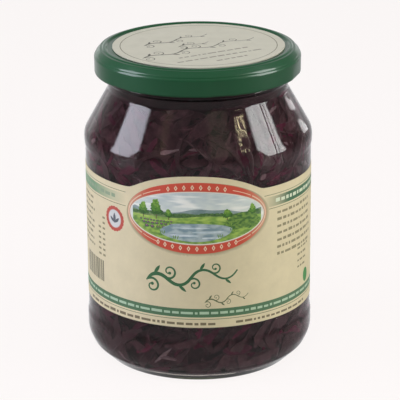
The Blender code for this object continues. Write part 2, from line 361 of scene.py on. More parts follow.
def mould_seams(jar):
    """The fine ridge that the two halves of the mould leave down each side of the jar, above and below
    the label. The edges along it are bevelled, and the middle of the strip that gives is lifted."""
    wall = filling_wall()
    mesh = jar.data

    def on_ridge(point):
        return on_stretch(point.z) and is_outer(point, wall)

    on_seam = [abs(seam_offset(v.co.x, v.co.y)) < 0.01 and on_ridge(v.co) for v in mesh.vertices]
    select_only(jar)
    bpy.ops.object.mode_set(mode="EDIT")
    bpy.ops.mesh.select_mode(type="EDGE")
    bpy.ops.mesh.select_all(action="DESELECT")
    bpy.ops.object.mode_set(mode="OBJECT")
    for edge in mesh.edges:
        first, second = edge.vertices
        middle = (mesh.vertices[first].co.z + mesh.vertices[second].co.z) / 2
        edge.select = on_seam[first] and on_seam[second] and on_stretch(middle)
    bpy.ops.object.mode_set(mode="EDIT")
    bpy.ops.mesh.bevel(offset=SEAM_HALF_WIDTH * MM, offset_type="OFFSET", segments=3, affect="EDGES")
    bpy.ops.mesh.select_mode(type="VERT")
    bpy.ops.object.mode_set(mode="OBJECT")
    strip = {}
    for vertex in mesh.vertices:
        offset = seam_offset(vertex.co.x, vertex.co.y)
        if 0.1 < abs(offset) < SEAM_HALF_WIDTH * 1.05 and on_ridge(vertex.co):
            radius = hypot(vertex.co.x, vertex.co.y)
            if abs(offset) < SEAM_HALF_WIDTH * 0.6:
                wanted = copysign(SEAM_TOP_HALF_WIDTH, offset)
                turn = atan2(vertex.co.x, -vertex.co.y) + (wanted - offset) * MM / radius
                radius += SEAM_RISE * MM
                vertex.co.x = radius * sin(turn)
                vertex.co.y = -radius * cos(turn)
                offset = wanted
            strip[vertex.index] = offset
    for edge in mesh.edges:
        first, second = edge.vertices
        if first in strip and second in strip and abs(strip[first] - strip[second]) < 0.05:
            edge.use_edge_sharp = True


def glass_jar():
    # Flint glass, blown and pressed in an iron mould: clear, faintly grey-green where it is thick,
    # with sharp reflections that waver a little on the shoulder. Its wet inner wall hardly shines.
    flint = glass_like("flint_glass_mould_blown", "#F8FAF8", 1.5, "#F4F6F4", "#CED4B3", 60.0,
                       wet_shine=0.06, wave=GLASS_WAVE)
    jar = turned("glass_jar_blown", glass_profile(), start_angle=SEAM_ANGLE)
    mould_seams(jar)
    wall = filling_wall()
    wetted = jar.data.attributes.new("wetted", "FLOAT", "FACE")
    for face in jar.data.polygons:
        wet = FLOOR - 0.2 < face.center.z / MM < JAR_TOP - 2.0 and not is_outer(face.center, wall)
        wetted.data[face.index].value = float(wet)
    finish_piece(jar, flint, "glass", "glass_jar")


# The filling

def filling_wall():
    """(radius, height) along the inside of the glass, from the middle of the floor upwards."""
    return rounded([*INNER_CORNERS, (MOUTH_RADIUS, 126.0, 0.0)])


def radius_at(profile, height):
    """The radius of a profile at a height, taken on its first stretch that rises past it."""
    for low, high in zip(profile, profile[1:]):
        if low[1] <= height <= high[1] and high[1] > low[1]:
            share = (height - low[1]) / (high[1] - low[1])
            return low[0] + (high[0] - low[0]) * share
    return profile[-1][0]


def brine():
    """The pickling liquid, which reaches just into the wall so that no air shows between them."""
    wall = filling_wall()
    side = [(r + BRINE_INTO_WALL, z - (BRINE_INTO_WALL if z < 10.0 else 0.0)) for r, z in wall[1:-1]]
    profile = [(0.0, wall[0][1] - BRINE_INTO_WALL), *side,
               (MOUTH_RADIUS + BRINE_INTO_WALL, BRINE_TOP), (0.0, BRINE_TOP)]
    # Red cabbage brine: a liquid of deep purple, near black within a few millimetres. It lies against
    # the glass, so it has hardly any shine of its own.
    purple = glass_like("purple_vinegar_brine", "#F4ECEF", 1.345, "#E8DCE0", "#DA95B3", 200.0,
                        shine=0.05)
    liquid = turned("brine", profile, steps=128)
    finish_piece(liquid, purple, "cabbage")


def shred(rng, wall, low, high, depth, lengths, widths):
    """Points and faces of one shred: a ribbon that wanders along the wall at some depth."""
    length = rng.triangular(*lengths)
    width = rng.triangular(*widths)
    thick = rng.uniform(0.5, 1.0)
    rings = max(5, round(length / 2.4))
    around = rng.uniform(0.0, tau)
    up = rng.uniform(low, high)
    heading = rng.gauss(0.0, 0.8) + (pi if rng.random() < 0.5 else 0.0)
    curl = rng.gauss(0.0, 0.06)
    wave_size = rng.uniform(0.1, 0.8)
    wave_phase = rng.uniform(0.0, tau)
    roll = rng.gauss(0.0, 0.3)
    roll_rate = rng.gauss(0.0, 0.03)
    points = []
    faces = []
    for ring in range(rings + 1):
        along = length * ring / rings
        inset = depth + thick + wave_size * (1.0 + sin(wave_phase + along * 0.35))
        radius = radius_at(wall, up) - inset
        outward = Vector((sin(around), -cos(around), 0.0))
        slope = (radius_at(wall, up + 1.0) - radius_at(wall, up - 1.0)) / 2.0
        outward = (outward - Vector((0.0, 0.0, slope))).normalized()
        sideways = Vector((cos(around), sin(around), 0.0))
        rising = outward.cross(sideways)
        direction = sideways * cos(heading) - rising * sin(heading)
        across = direction.cross(outward).normalized()
        tilt = roll + roll_rate * along
        flat = across * cos(tilt) + outward * sin(tilt)
        proud = outward * cos(tilt) - across * sin(tilt)
        taper = min(1.0, 0.3 + 2.2 * min(ring, rings - ring) / rings)
        half = width / 2 * taper * (1.0 + 0.22 * sin(wave_phase * 3 + along * 0.9))
        centre = Vector((sin(around) * radius, -cos(around) * radius, up))
        edge = thick / 2
        for side, lift in ((-1, -1), (1, -1), (1, 1), (-1, 1)):
            points.append((centre + flat * half * side + proud * edge * lift) * MM)
        step = length / rings
        around += step * cos(heading) / max(radius, 20.0)
        up = min(max(up - step * sin(heading), low), high)
        heading += curl * step
    for ring in range(rings):
        first = 4 * ring
        for side in range(4):
            other = (side + 1) % 4
            faces.append((first + side, first + 4 + side, first + 4 + other, first + other))
    faces.append((0, 1, 2, 3))
    last = 4 * rings
    faces.append((last + 3, last + 2, last + 1, last))
    return points, faces


def shred_piece(name, seed, count, colours, zones, depths, lengths, widths):
    """Many shreds as one mesh, each shred with a colour of its own between the two given. Lengths and
    widths are each the least, the most and the commonest."""
    rng = random.Random(seed)
    wall = filling_wall()
    points = []
    faces = []
    tints = []
    for index in range(count):
        low, high = zones[index % len(zones)]
        ribbon, sides = shred(rng, wall, low, high, rng.uniform(*depths), lengths, widths)
        faces += [tuple(corner + len(points) for corner in side) for side in sides]
        points += ribbon
        tint = blend(colours[0], colours[1], rng.random() ** 1.5)
        tints += [tint] * len(ribbon)
    mesh = bpy.data.meshes.new(name)
    mesh.from_pydata(points, [], faces)
    shade = mesh.color_attributes.new("leaf_colour", "FLOAT_COLOR", "POINT")
    for index, tint in enumerate(tints):
        shade.data[index].color = tint
    piece = placed(name, mesh)
    mesh.shade_smooth()
    mesh.set_sharp_from_angle(angle=radians(50.0))
    return piece


def cabbage_material():
    # Red cabbage, pickled and cut in shreds: dyed through with its own purple, darker along the
    # skin of the leaf and paler where the knife went through, wet and half clear.
    made = new_material("pickled_red_cabbage")
    tint = add(made, "Attribute", {"attribute_name": "leaf_colour"})
    place = add(made, "TexCoord")
    veins = add(made, "TexNoise", Vector=place.outputs["Object"], Scale=per_metre(LEAF_VEIN), Detail=3.0,
                Roughness=0.6)
    depth = add(made, "MapRange", Value=veins, From_Min=0.3, From_Max=0.7, To_Min=0.7, To_Max=1.25)
    shaded = add(made, "MixRGB", {"blend_type": "MULTIPLY"}, Fac=1.0, Color1=tint, Color2=depth)
    bump = add(made, "Bump", Strength=0.3, Distance=0.2 * MM, Height=veins)
    skin = add(made, "BsdfPrincipled", Base_Color=shaded, Roughness=0.5, Normal=bump,
               Specular_IOR_Level=0.08)
    add(made, "OutputMaterial", Surface=skin)
    return made


def core_material():
    # Deep in the jar the shreds are packed too tight for light: a near black purple.
    made = new_material("packed_cabbage_in_shade")
    place = add(made, "TexCoord")
    lumps = add(made, "TexNoise", Vector=place.outputs["Object"], Scale=per_metre(HEAP_LUMP), Detail=4.0,
                Roughness=0.65)
    shade = add(made, "ValToRGB", Fac=lumps)
    dark, pale = shade.color_ramp.elements
    dark.position, dark.color = 0.35, linear("#2A1D21")
    pale.position, pale.color = 0.7, linear("#43292F")
    dull = add(made, "BsdfPrincipled", Base_Color=shade, Roughness=0.7)
    add(made, "OutputMaterial", Surface=dull)
    return made


def cabbage():
    """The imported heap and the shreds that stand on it, up against the glass."""
    body_radius = INNER_RADIUS - CORE_INSET
    neck_radius = MOUTH_RADIUS - CORE_INSET
    profile = rounded([
        (0.0, FLOOR + 3.0, 0.0),
        (30.0, FLOOR + 1.2, 20.0),
        (body_radius, FLOOR + 2.8, 6.5),
        (body_radius, 93.0, 11.0),
        (neck_radius, 113.5, 4.0),
        (neck_radius, CABBAGE_TOP, 2.0),
        (0.0, CABBAGE_TOP, 0.0),
    ])
    core = turned("cabbage_core", profile, steps=96)
    finish_piece(core, core_material(), "cabbage", "red_cabbage")
    skin = cabbage_material()
    # Heights between which shreds lie: most of them where the label leaves the glass bare. The magenta
    # shreds lie twice as thick in the bend under the shoulder. Their purple is the cabbage's own, but
    # gathering them there is painted light: it stands for the light that comes in through the shoulder and
    # falls on the cabbage below it.
    foot, middle, shoulder, bend = (4.9, 29.0), (28.0, 82.0), (80.0, 114.0), (82.0, 100.0)
    kinds = (
        ("cabbage_shreds_dark", 11, 950, ("#4A363C", "#634B53"),
         (foot, shoulder, shoulder, foot, middle, shoulder),
         (0.2, 2.8), (8.0, 30.0, 14.0), (1.8, 6.0, 3.2)),
        # Magenta shreds: the cabbage's own colour, gathered in the bend as painted light where light
        # through the shoulder falls
        ("cabbage_shreds_magenta_and_painted_light", 12, 260, ("#50283A", "#702B4A"),
         (bend, shoulder, middle, bend, foot),
         (0.1, 2.0), (6.0, 24.0, 11.0), (1.4, 5.0, 2.6)),
        ("cabbage_ribs_pale", 13, 90, ("#75626A", "#948288"),
         (shoulder, bend, foot),
         (0.0, 0.9), (2.5, 11.0, 4.0), (0.8, 2.6, 1.4)),
    )
    for name, seed, count, (first, second), zones, depths, lengths, widths in kinds:
        tints = (linear(first), linear(second))
        piece = shred_piece(name, seed, count, tints, zones, depths, lengths, widths)
        finish_piece(piece, skin, "cabbage")


# The lid

def lid_profile():
    """(radius, height) over the top of the lid, down its skirt, round the curl and back inside."""
    sheet = 0.45
    panel_radius = 37.3
    panel_top = DISC_TOP - 0.55
    curl = 0.95
    foot_radius = LID_RADIUS - 0.05
    outer = rounded([
        (0.0, panel_top, 0.0),
        (panel_radius, panel_top, 0.35),
        (38.0, LID_TOP, 0.4),
        (38.9, LID_TOP, 0.8),
        (LID_RADIUS, LID_TOP - 3.55, 1.5),
        (foot_radius, LID_BOTTOM + curl, 0.0),
    ], radians(6.0), 0.3)
    centre = Vector((foot_radius - curl, LID_BOTTOM + curl))
    steps = 22
    rolled = []
    for step in range(1, steps + 1):
        angle = -radians(215.0) * step / steps
        rolled.append(centre + curl * Vector((cos(angle), sin(angle))))
    inner_radius = LID_RADIUS - sheet
    inner = rounded([
        (inner_radius - 0.5, LID_BOTTOM + 2.2, 0.0),
        (inner_radius, LID_BOTTOM + 3.3, 0.6),
        (inner_radius - 0.1, LID_TOP - 2.6, 1.4),
        (40.3, LID_TOP - sheet - 0.1, 0.6),
        (38.5, LID_TOP - sheet, 0.3),
        (37.6, panel_top - sheet, 0.3),
        (0.0, panel_top - sheet, 0.0),
    ])
    return outer + rolled + inner


def lid():
    """The lid, with lugs pressed in round its foot that grip the thread of the jar."""
    piece = turned("twist_off_lid", lid_profile(), sharp=radians(50.0))
    lug_count = 6
    lug_height = 4.5
    lug_half_share = 0.11
    for vertex in piece.data.vertices:
        rise = vertex.co.z / MM - LID_BOTTOM
        radius = hypot(vertex.co.x, vertex.co.y) / MM
        if rise < lug_height and radius > 39.0:
            angle = atan2(vertex.co.x, -vertex.co.y)
            turn = (angle * lug_count / tau + 0.3) % 1.0 - 0.5
            press = max(0.0, 1.0 - (abs(turn) / lug_half_share) ** 4) * (1.0 - rise / lug_height)
            depth = 0.35 if radius > 41.2 else 1.3
            shrink = (radius - press * depth) / radius
            vertex.co.x *= shrink
            vertex.co.y *= shrink
    # Tinplate with a stoved green lacquer: even, deep green, with a clear gloss over it.
    made = new_material("green_stoved_lacquer_tinplate")
    place = add(made, "TexCoord")
    mottle = add(made, "TexNoise", Vector=place.outputs["Object"], Scale=per_metre(LACQUER_MOTTLE),
                 Detail=2.0)
    shade = add(made, "ValToRGB", Fac=mottle)
    dark, pale = shade.color_ramp.elements
    dark.color = linear("#14472A")
    pale.color = linear("#18502F")
    peel = add(made, "TexNoise", Vector=place.outputs["Object"], Scale=per_metre(LACQUER_PEEL), Detail=1.0)
    bump = add(made, "Bump", Strength=0.06, Distance=0.05 * MM, Height=peel)
    skin = add(made, "BsdfPrincipled", Base_Color=shade, Roughness=0.4, Normal=bump, Coat_Weight=0.6,
               Coat_Roughness=0.07, Specular_IOR_Level=0.2)
    add(made, "OutputMaterial", Surface=skin)
    finish_piece(piece, made, "lid_lacquer", "lid")


# Print: outlines on flat paper, which is then cut along them and laid on the jar or the lid

def ellipse(cx, cy, a, b, count):
    turns = [tau * index / count for index in range(count)]
    return [(cx + a * cos(t), cy + b * sin(t)) for t in turns]


def box_outline(left, low, right, high):
    return [(left, low), (right, low), (right, high), (left, high)]


def blob(rng, cx, cy, a, b, rough, count=26):
    """A leafy outline: an ellipse whose edge goes in and out."""
    points = []
    for index in range(count):
        t = tau * index / count
        size = 1.0 + rough * rng.uniform(-1.0, 1.0)
        points.append((cx + a * size * cos(t), cy + b * size * sin(t)))
    return points


def along_curve(knots, steps):
    """Points of a smooth curve through the knots, each (x, y) or (x, y, width)."""
    ends = [knots[0], *knots, knots[-1]]
    points = []
    for before, here, there, after in zip(ends, ends[1:], ends[2:], ends[3:]):
        for step in range(steps):
            t = step / steps
            points.append(tuple(
                0.5 * (2 * b + (c - a) * t + (2 * a - 5 * b + 4 * c - d) * t * t
                       + (3 * b - a - 3 * c + d) * t ** 3)
                for a, b, c, d in zip(before, here, there, after)
            ))
    points.append(tuple(map(float, knots[-1])))
    return points


def stroke(knots, steps, ink):
    """The shapes of a pen stroke: a chain of short four-sided pieces along a smooth curve."""
    curve = along_curve(knots, steps)
    edges = []
    for index, (x, y, width) in enumerate(curve):
        x0, y0, _ = curve[max(index - 1, 0)]
        x1, y1, _ = curve[min(index + 1, len(curve) - 1)]
        size = hypot(x1 - x0, y1 - y0) or 1.0
        nx, ny = -(y1 - y0) / size * width / 2, (x1 - x0) / size * width / 2
        edges.append(((x + nx, y + ny), (x - nx, y - ny)))
    return [([a, b, d, c], ink) for (a, b), (c, d) in zip(edges, edges[1:])]


def moved(points, x, y, turn, scale=1.0):
    """The points scaled, turned about their origin, and carried to (x, y)."""
    c, s = cos(turn) * scale, sin(turn) * scale
    return [(x + px * c - py * s, y + px * s + py * c) for px, py in points]


def leaf(x, y, turn, length, width, count=9):
    """A pointed leaf outline that starts at (x, y) and points along turn."""
    upper = []
    lower = []
    for index in range(count + 1):
        t = index / count
        half = width / 2 * sin(pi * t) ** 0.8 if 0 < index < count else 0.0
        upper.append((t * length, half))
        lower.append((t * length, -half))
    return moved(lower + upper[-2:0:-1], x, y, turn)


def which_inside(outline, xs, ys):
    """Which of the points lie inside an outline, by counting the edges to the right of each."""
    crossed = np.zeros(len(xs), bool)
    for (x0, y0), (x1, y1) in zip(outline, outline[1:] + outline[:1]):
        if y0 != y1:
            crossed ^= ((y0 > ys) != (y1 > ys)) & (xs < x0 + (ys - y0) * (x1 - x0) / (y1 - y0))
    return crossed


def dense(outline, longest):
    """The outline with points added, so that no edge is a long chord once the paper is bent."""
    points = []
    for (x0, y0), (x1, y1) in zip(outline, outline[1:] + outline[:1]):
        parts = max(1, ceil(hypot(x1 - x0, y1 - y0) / longest))
        points += [(x0 + (x1 - x0) * part / parts, y0 + (y1 - y0) * part / parts) for part in range(parts)]
    return points


def grid(left, low, right, high, spacing):
    """Points in staggered rows over a field of the sheet."""
    columns = ceil((right - left) / spacing)
    rows = ceil((high - low) / spacing)
    return [Vector((left + (column + 0.25 + 0.5 * (row % 2)) * spacing, low + (row + 0.5) * spacing))
            for column in range(columns) for row in range(rows)]


def printed_paper(name, shapes, fields, place, thickness):
    """Paper cut along its printed shapes. The first shape is the sheet, and each lies over those
    before it. An ink is a linear colour or a function of the place on the flat sheet. Each field
    (left, low, right, high, spacing) is a part of the sheet with points for inks that shade off."""
    corners = []
    edges = []
    for outline, _ in shapes:
        points = dense(outline, 2.0)
        first = len(corners)
        corners += [Vector(point) for point in points]
        edges += [(first + index, first + (index + 1) % len(points)) for index in range(len(points))]
    for field in fields:
        corners += grid(*field)
    flat, _, cells, _, _, _ = geometry.delaunay_2d_cdt(corners, edges, [], 0, 1e-5)
    middles = np.array([[sum(flat[corner][axis] for corner in cell) / len(cell) for axis in (0, 1)]
                        for cell in cells])
    owners = np.full(len(cells), -1)
    for number, (points, _) in enumerate(shapes):
        near = np.flatnonzero(
            (middles[:, 0] > min(x for x, _ in points)) & (middles[:, 0] < max(x for x, _ in points))
            & (middles[:, 1] > min(y for _, y in points)) & (middles[:, 1] < max(y for _, y in points)))
        within = near[which_inside(points, middles[near, 0], middles[near, 1])]
        if number:
            within = within[owners[within] >= 0]
        owners[within] = number
    kept = []
    colours = []
    for cell, owner in zip(cells, owners):
        if owner < 0:
            continue
        ink = shapes[owner][1]
        kept.append(cell)
        for corner in cell:
            colours.append(ink(*flat[corner]) if callable(ink) else ink)
    used = sorted({corner for cell in kept for corner in cell})
    renumber = {corner: index for index, corner in enumerate(used)}
    mesh = bpy.data.meshes.new(name)
    mesh.from_pydata([place(*flat[corner]) for corner in used], [],
                     [[renumber[corner] for corner in cell] for cell in kept])
    shade = mesh.color_attributes.new("ink", "FLOAT_COLOR", "CORNER")
    for index, colour in enumerate(colours):
        shade.data[index].color = colour
    piece = placed(name, mesh)
    mesh.shade_smooth()
    select_only(piece)
    body = piece.modifiers.new("Paper", "SOLIDIFY")
    body.thickness = thickness * MM
    body.offset = -1.0
    bpy.ops.object.modifier_apply(modifier="Paper")
    bpy.ops.object.shade_smooth_by_angle(angle=radians(40.0))
    return piece


def paper_material(name, gloss):
    # Machine-coated label paper, offset printed: matt, with a soft sheen of varnish over the ink and
    # a faint cloud of fibres. Real fibres are too fine to show, so they are drawn coarser.
    made = new_material(name)
    ink = add(made, "Attribute", {"attribute_name": "ink"})
    place = add(made, "TexCoord")
    cloud = add(made, "TexNoise", Vector=place.outputs["Object"], Scale=per_metre(PAPER_CLOUD), Detail=5.0,
                Roughness=0.7)
    tone = add(made, "MapRange", Value=cloud, From_Min=0.25, From_Max=0.75, To_Min=0.93, To_Max=1.04)
    printed = add(made, "MixRGB", {"blend_type": "MULTIPLY"}, Fac=1.0, Color1=ink, Color2=tone)
    fibres = add(made, "TexNoise", Vector=place.outputs["Object"], Scale=per_metre(PAPER_FIBRE), Detail=2.0)
    bump = add(made, "Bump", Strength=0.15, Distance=0.05 * MM, Height=fibres)
    skin = add(made, "BsdfPrincipled", Base_Color=printed, Roughness=gloss, Normal=bump,
               Specular_IOR_Level=0.35)
    add(made, "OutputMaterial", Surface=skin)
    return made


# The body label's artwork, in millimetres along the paper from the middle of its front and up

CREAM = linear("#DDD0AB")
RED = linear("#D1533F")
PINK = linear("#D9A285")
SHADE = linear("#A89C78")
GREEN = linear("#527755")
OLIVE = linear("#7D8262")
GREY_INK = linear("#918867")
BROWN_INK = linear("#7C7156")
BAR_INK = linear("#66644F")
VINE_GREEN = linear("#3C6A45")
VINE_OLIVE = linear("#5F6A48")
LABEL_MIDDLE = 73.65
RING_A, RING_B = 29.95, 15.1
PICTURE_A, PICTURE_B = 28.3, 10.9
LABEL_REACH = LABEL_HALF_WRAP * LABEL_RADIUS


def label_top(u):
    """The height of the paper's upper edge: straight at the sides, with an arch at the front."""
    turn = abs((u - ARCH_SHIFT) / LABEL_RADIUS)
    rise = ARCH_RISE * (1.0 - (turn / ARCH_HALF_ANGLE) ** ARCH_POWER) if turn < 1.5 else -30.0
    return LABEL_SIDE_TOP + (rise + hypot(rise, ARCH_BLEND)) / 2


def sky(x, y):
    share = (y - LABEL_MIDDLE) / PICTURE_B
    streak = noise.noise(Vector((x * 0.11 + y * 0.1, y * 0.9, 3.0)))
    tint = blend(linear("#DEE4DA"), linear("#C0CCCC"), share + 0.5 * noise.noise(Vector((x * 0.3, y, 9.0))))
    return blend(tint, linear("#F2F3EA"), streak * 2.4)


def meadow(bright, dark, scale):
    """Ground in daubs of two greens, blended by a broad noise and a finer one."""
    def ink(x, y):
        patch = noise.noise(Vector((x * scale, y * scale * 2.4, 8.0))) * 1.4 + 0.5
        daub = noise.noise(Vector((x * 0.9, y * 2.6, 2.0))) * 0.45
        return blend(linear(bright), linear(dark), patch + daub)
    return ink


def hill(level, size, pitch, phase):
    """The outline of rolling ground inside the picture, from its skyline down to the picture's edge."""
    skyline = []
    edge = []
    count = 60
    for index in range(1, count):
        t = -1.0 + 2.0 * index / count
        x = PICTURE_A * t
        limit = PICTURE_B * sqrt(1.0 - t * t) * 0.995
        top = level + size * (sin(x * pitch + phase) + 0.3 * sin(x * pitch * 2.7 + phase * 2))
        if top > -limit + 0.05:
            skyline.append((x, LABEL_MIDDLE + min(top, limit)))
            edge.append((x, LABEL_MIDDLE - limit))
    return skyline + edge[::-1]


def tree(rng, x, foot, height, width):
    """A tree of three heaped crowns over a short trunk."""
    shapes = [(box_outline(x - 0.18, foot - 0.2, x + 0.18, foot + height * 0.4), linear("#6A5A45"))]
    for rise, spread, bright, dark in (
        (0.42, 1.0, "#4F7A34", "#34582E"),
        (0.62, 0.85, "#6B9A3B", "#41702F"),
        (0.8, 0.55, "#8DB34A", "#5C8A39"),
    ):
        middle = x + rng.uniform(-0.2, 0.2)
        crown = blob(rng, middle, foot + height * rise, width * spread / 2, height * 0.24, 0.2)
        shapes.append((crown, meadow(bright, dark, 1.1)))
    return shapes


def picture():
    """A plain painted scene of farm land: sky, far hills, meadows, rows of cabbages and a pond."""
    rng = random.Random(5)
    mid = LABEL_MIDDLE
    shapes = [(ellipse(0.0, mid, PICTURE_A, PICTURE_B, count=120), sky)]
    shapes.append((hill(2.9, 0.9, 0.17, 1.0), meadow("#93A5A2", "#6F8683", 0.2)))
    shapes.append((hill(1.5, 0.5, 0.22, 2.4), meadow("#8B9E66", "#56744A", 0.3)))
    for step in range(28):
        x = -26.0 + 1.9 * step
        level = mid + 1.2 + 0.4 * sin(x * 0.3)
        bush = blob(rng, x, level, rng.uniform(0.8, 1.5), rng.uniform(0.5, 0.9), 0.2, 14)
        shapes.append((bush, meadow("#5E8048", "#3B5C38", 0.9)))
    shapes.append((hill(0.3, 0.5, 0.13, 0.6), meadow("#B2CC66", "#7FA54C", 0.35)))
    trees = ((-22.4, 6.2, 4.4), (-16.6, 8.0, 5.0), (-11.4, 4.2, 3.2), (12.4, 4.4, 4.2), (23.4, 5.6, 3.6))
    for x, height, width in trees:
        shapes += tree(rng, x, mid - 0.9, height, width)
    shapes.append((hill(-1.4, 0.4, 0.2, 1.6), meadow("#A4C25A", "#668F44", 0.4)))
    for x, y, a, b in ((19.4, -1.6, 6.6, 3.2), (15.4, -3.0, 4.4, 2.6), (22.4, -2.6, 4.2, 2.8)):
        shapes.append((blob(rng, x, mid + y, a, b, 0.07, 40), meadow("#7EA048", "#3C6636", 0.7)))
    for y, size in ((-1.9, 0.55), (-3.1, 0.75), (-4.6, 0.95)):
        shapes += cabbage_row(rng, y, size)
    return shapes + pond()


def cabbage_row(rng, y, size):
    """One row of cabbages in the picture's field: leaves, a purple head and the light on it."""
    leaves = meadow("#5E8C46", "#3E6B3A", 2.0)
    shapes = []
    pitch = size * 2.6
    low = LABEL_MIDDLE + y
    for index in range(int(15.0 / pitch)):
        x = -25.0 - 0.9 * y + index * pitch + rng.uniform(-0.2, 0.2)
        shapes.append((blob(rng, x, low, size * 1.15, size * 0.72, 0.2, 14), leaves))
        shapes.append((blob(rng, x, low + 0.15, size * 0.7, size * 0.5, 0.12, 12), linear("#74476A")))
        shapes.append((ellipse(x - 0.1, low + 0.3, size * 0.3, size * 0.2, count=10), linear("#A57F9E")))
    return shapes


def pond():
    """The picture's pond, with pale streaks of sky in it and tufts of grass round it."""
    mid = LABEL_MIDDLE
    shore = [(-9.5, -2.6), (-4.0, -2.3), (4.0, -2.4), (11.5, -3.4), (14.5, -5.2), (12.0, -7.6),
             (5.0, -9.6), (-3.0, -9.9), (-11.0, -8.6), (-15.2, -6.6), (-13.6, -4.4), (-9.5, -2.6)]
    outline = [(x, mid + y) for x, y in along_curve(shore, 6)[:-1]]
    shapes = [(outline, meadow("#B5C3C3", "#80989F", 0.3))]
    streaks = ((-2.0, -4.2, 7.5, 0.35), (4.5, -5.9, 6.5, 0.45), (-5.0, -7.4, 6.0, 0.5),
               (6.0, -8.4, 4.0, 0.4))
    for x, y, a, b in streaks:
        shapes.append((ellipse(x, mid + y, a, b, count=36), meadow("#D9E1E1", "#B3C4C9", 0.5)))
    tufts = ((-15.2, -5.2), (-14.2, -7.4), (-12.0, -3.2), (13.2, -4.0), (14.6, -6.2), (9.4, -8.6),
             (-8.6, -9.2))
    for x, y in tufts:
        for offset in (-0.5, 0.0, 0.6):
            blade = leaf(x + offset, mid + y, radians(90 - offset * 30), 1.9, 0.45, 5)
            shapes.append((blade, meadow("#88A84A", "#4D7A36", 1.2)))
    return shapes


def red_ring():
    """The red ring, which fades towards its two ends, with cream lines in it that run round the
    ends, and a row of small lozenges above and below the picture."""
    mid = LABEL_MIDDLE

    def red(x, y):
        end = max(0.0, (abs(x) / RING_A - 0.62) / 0.36)
        return blend(blend(RED, linear("#CB6A4E"), end * 1.6), PINK, end ** 2)

    def shadow(x, y):
        out = hypot(x / RING_A, (y - mid) / RING_B) - 1.0
        return blend(SHADE, CREAM, out / 0.07)

    shapes = [(ellipse(0.45, mid - 0.75, RING_A + 1.1, RING_B + 0.8, count=140), shadow),
              (ellipse(0.0, mid, RING_A, RING_B, count=140), red)]
    line_a, line_b = RING_A - 0.55, RING_B - 2.1
    for side in (1, -1):
        for first, last, width in ((-56, -38, 0.26), (-38, 40, 0.4), (40, 62, 0.3)):
            turns = [radians(degrees) for degrees in range(first, last + 1, 4)]
            knots = [(side * line_a * cos(t), mid + line_b * sin(t), width) for t in turns]
            shapes += stroke(knots, 2, linear("#E7CDAE"))
    for sign, lozenges in ((1, 8), (-1, 11)):
        for index in range(lozenges):
            t = radians(90 + (index - (lozenges - 1) / 2) * 6.6)
            x = line_a * cos(t)
            y = mid + sign * line_b * sin(t)
            for high, ink in ((1.15, linear("#E9D9B9")), (1.15 * 0.45, RED)):
                wide = high * 0.62
                shapes.append(([(x - wide, y), (x, y - high), (x + wide, y), (x, y + high)], ink))
    shapes.append((ellipse(0.0, mid, PICTURE_A + 0.75, PICTURE_B + 0.55, count=140), linear("#B98A76")))
    shapes.append((ellipse(0.0, mid, PICTURE_A + 0.5, PICTURE_B + 0.42, count=140), linear("#E4E0D2")))
    return shapes


def side_bands():
    """The bands beside the ring: two thin lines, and between them a green that comes up out of the
    cream and deepens outwards, with a broken line in it."""
    rng = random.Random(17)
    shapes = []
    for side, start, fade_length, deep, pale, shift in (
        (-1, 31.0, 21.0, "#7C9C78", "#91A284", 0.45),
        (1, 29.0, 14.0, "#3F6B4A", "#DCE3C8", -0.45),
    ):
        def fill(x, y, begin=start, length=fade_length, end=linear(deep)):
            return blend(CREAM, end, (abs(x) - begin) / length)

        for low, high, ink in ((80.74 + shift, 81.0 + shift, OLIVE), (74.8 + shift, 75.06 + shift, OLIVE),
                               (75.75 + shift, 80.0 + shift, fill)):
            near, far = sorted((side * start, side * LABEL_REACH))
            shapes.append((box_outline(near, low, far, high), ink))
        for outline, tone in dashes(rng, 0.0, 72.0, 77.2 + shift, 1.5, 3.4, linear(pale)):
            shapes.append(([(side * (start + 6.0 + x), y) for x, y in outline], tone))
    return shapes


def foot_band():
    """The green band near the label's foot, with a pale broken line in it, and below it a thin line
    and small print."""
    rng = random.Random(21)
    shapes = [(box_outline(-LABEL_REACH, 31.0, LABEL_REACH, 34.75), GREEN),
              (box_outline(-LABEL_REACH, 30.0, LABEL_REACH, 30.28), OLIVE)]
    shapes += dashes(rng, -120.0, 120.0, 32.35, 1.05, 5.0, linear("#B5CBAE"))
    shapes += dashes(rng, -58.0, 9.0, 27.55, 1.15, 4.6, BROWN_INK)
    shapes += dashes(rng, 16.0, 56.0, 27.7, 0.95, 4.0, BROWN_INK)
    return shapes


def dashes(rng, left, right, low, height, longest, ink):
    """A broken line, as fine print looks from a step away."""
    shapes = []
    x = left
    while x < right - 1.0:
        width = min(rng.uniform(1.0, longest), right - x)
        shapes.append((box_outline(x, low, x + width, low + height * rng.uniform(0.85, 1.1)), ink))
        x += width + 0.8
    return shapes


def text_block(rng, left, right, top, rows, pitch, height, ink, ragged=0.3):
    """Rows of broken lines, each shorter than the block by up to the ragged share of its width."""
    shapes = []
    for row in range(rows):
        end = right - ragged * (right - left) * rng.random()
        shapes += dashes(rng, left, end, top - row * pitch - height, height, 3.8, ink)
    return shapes


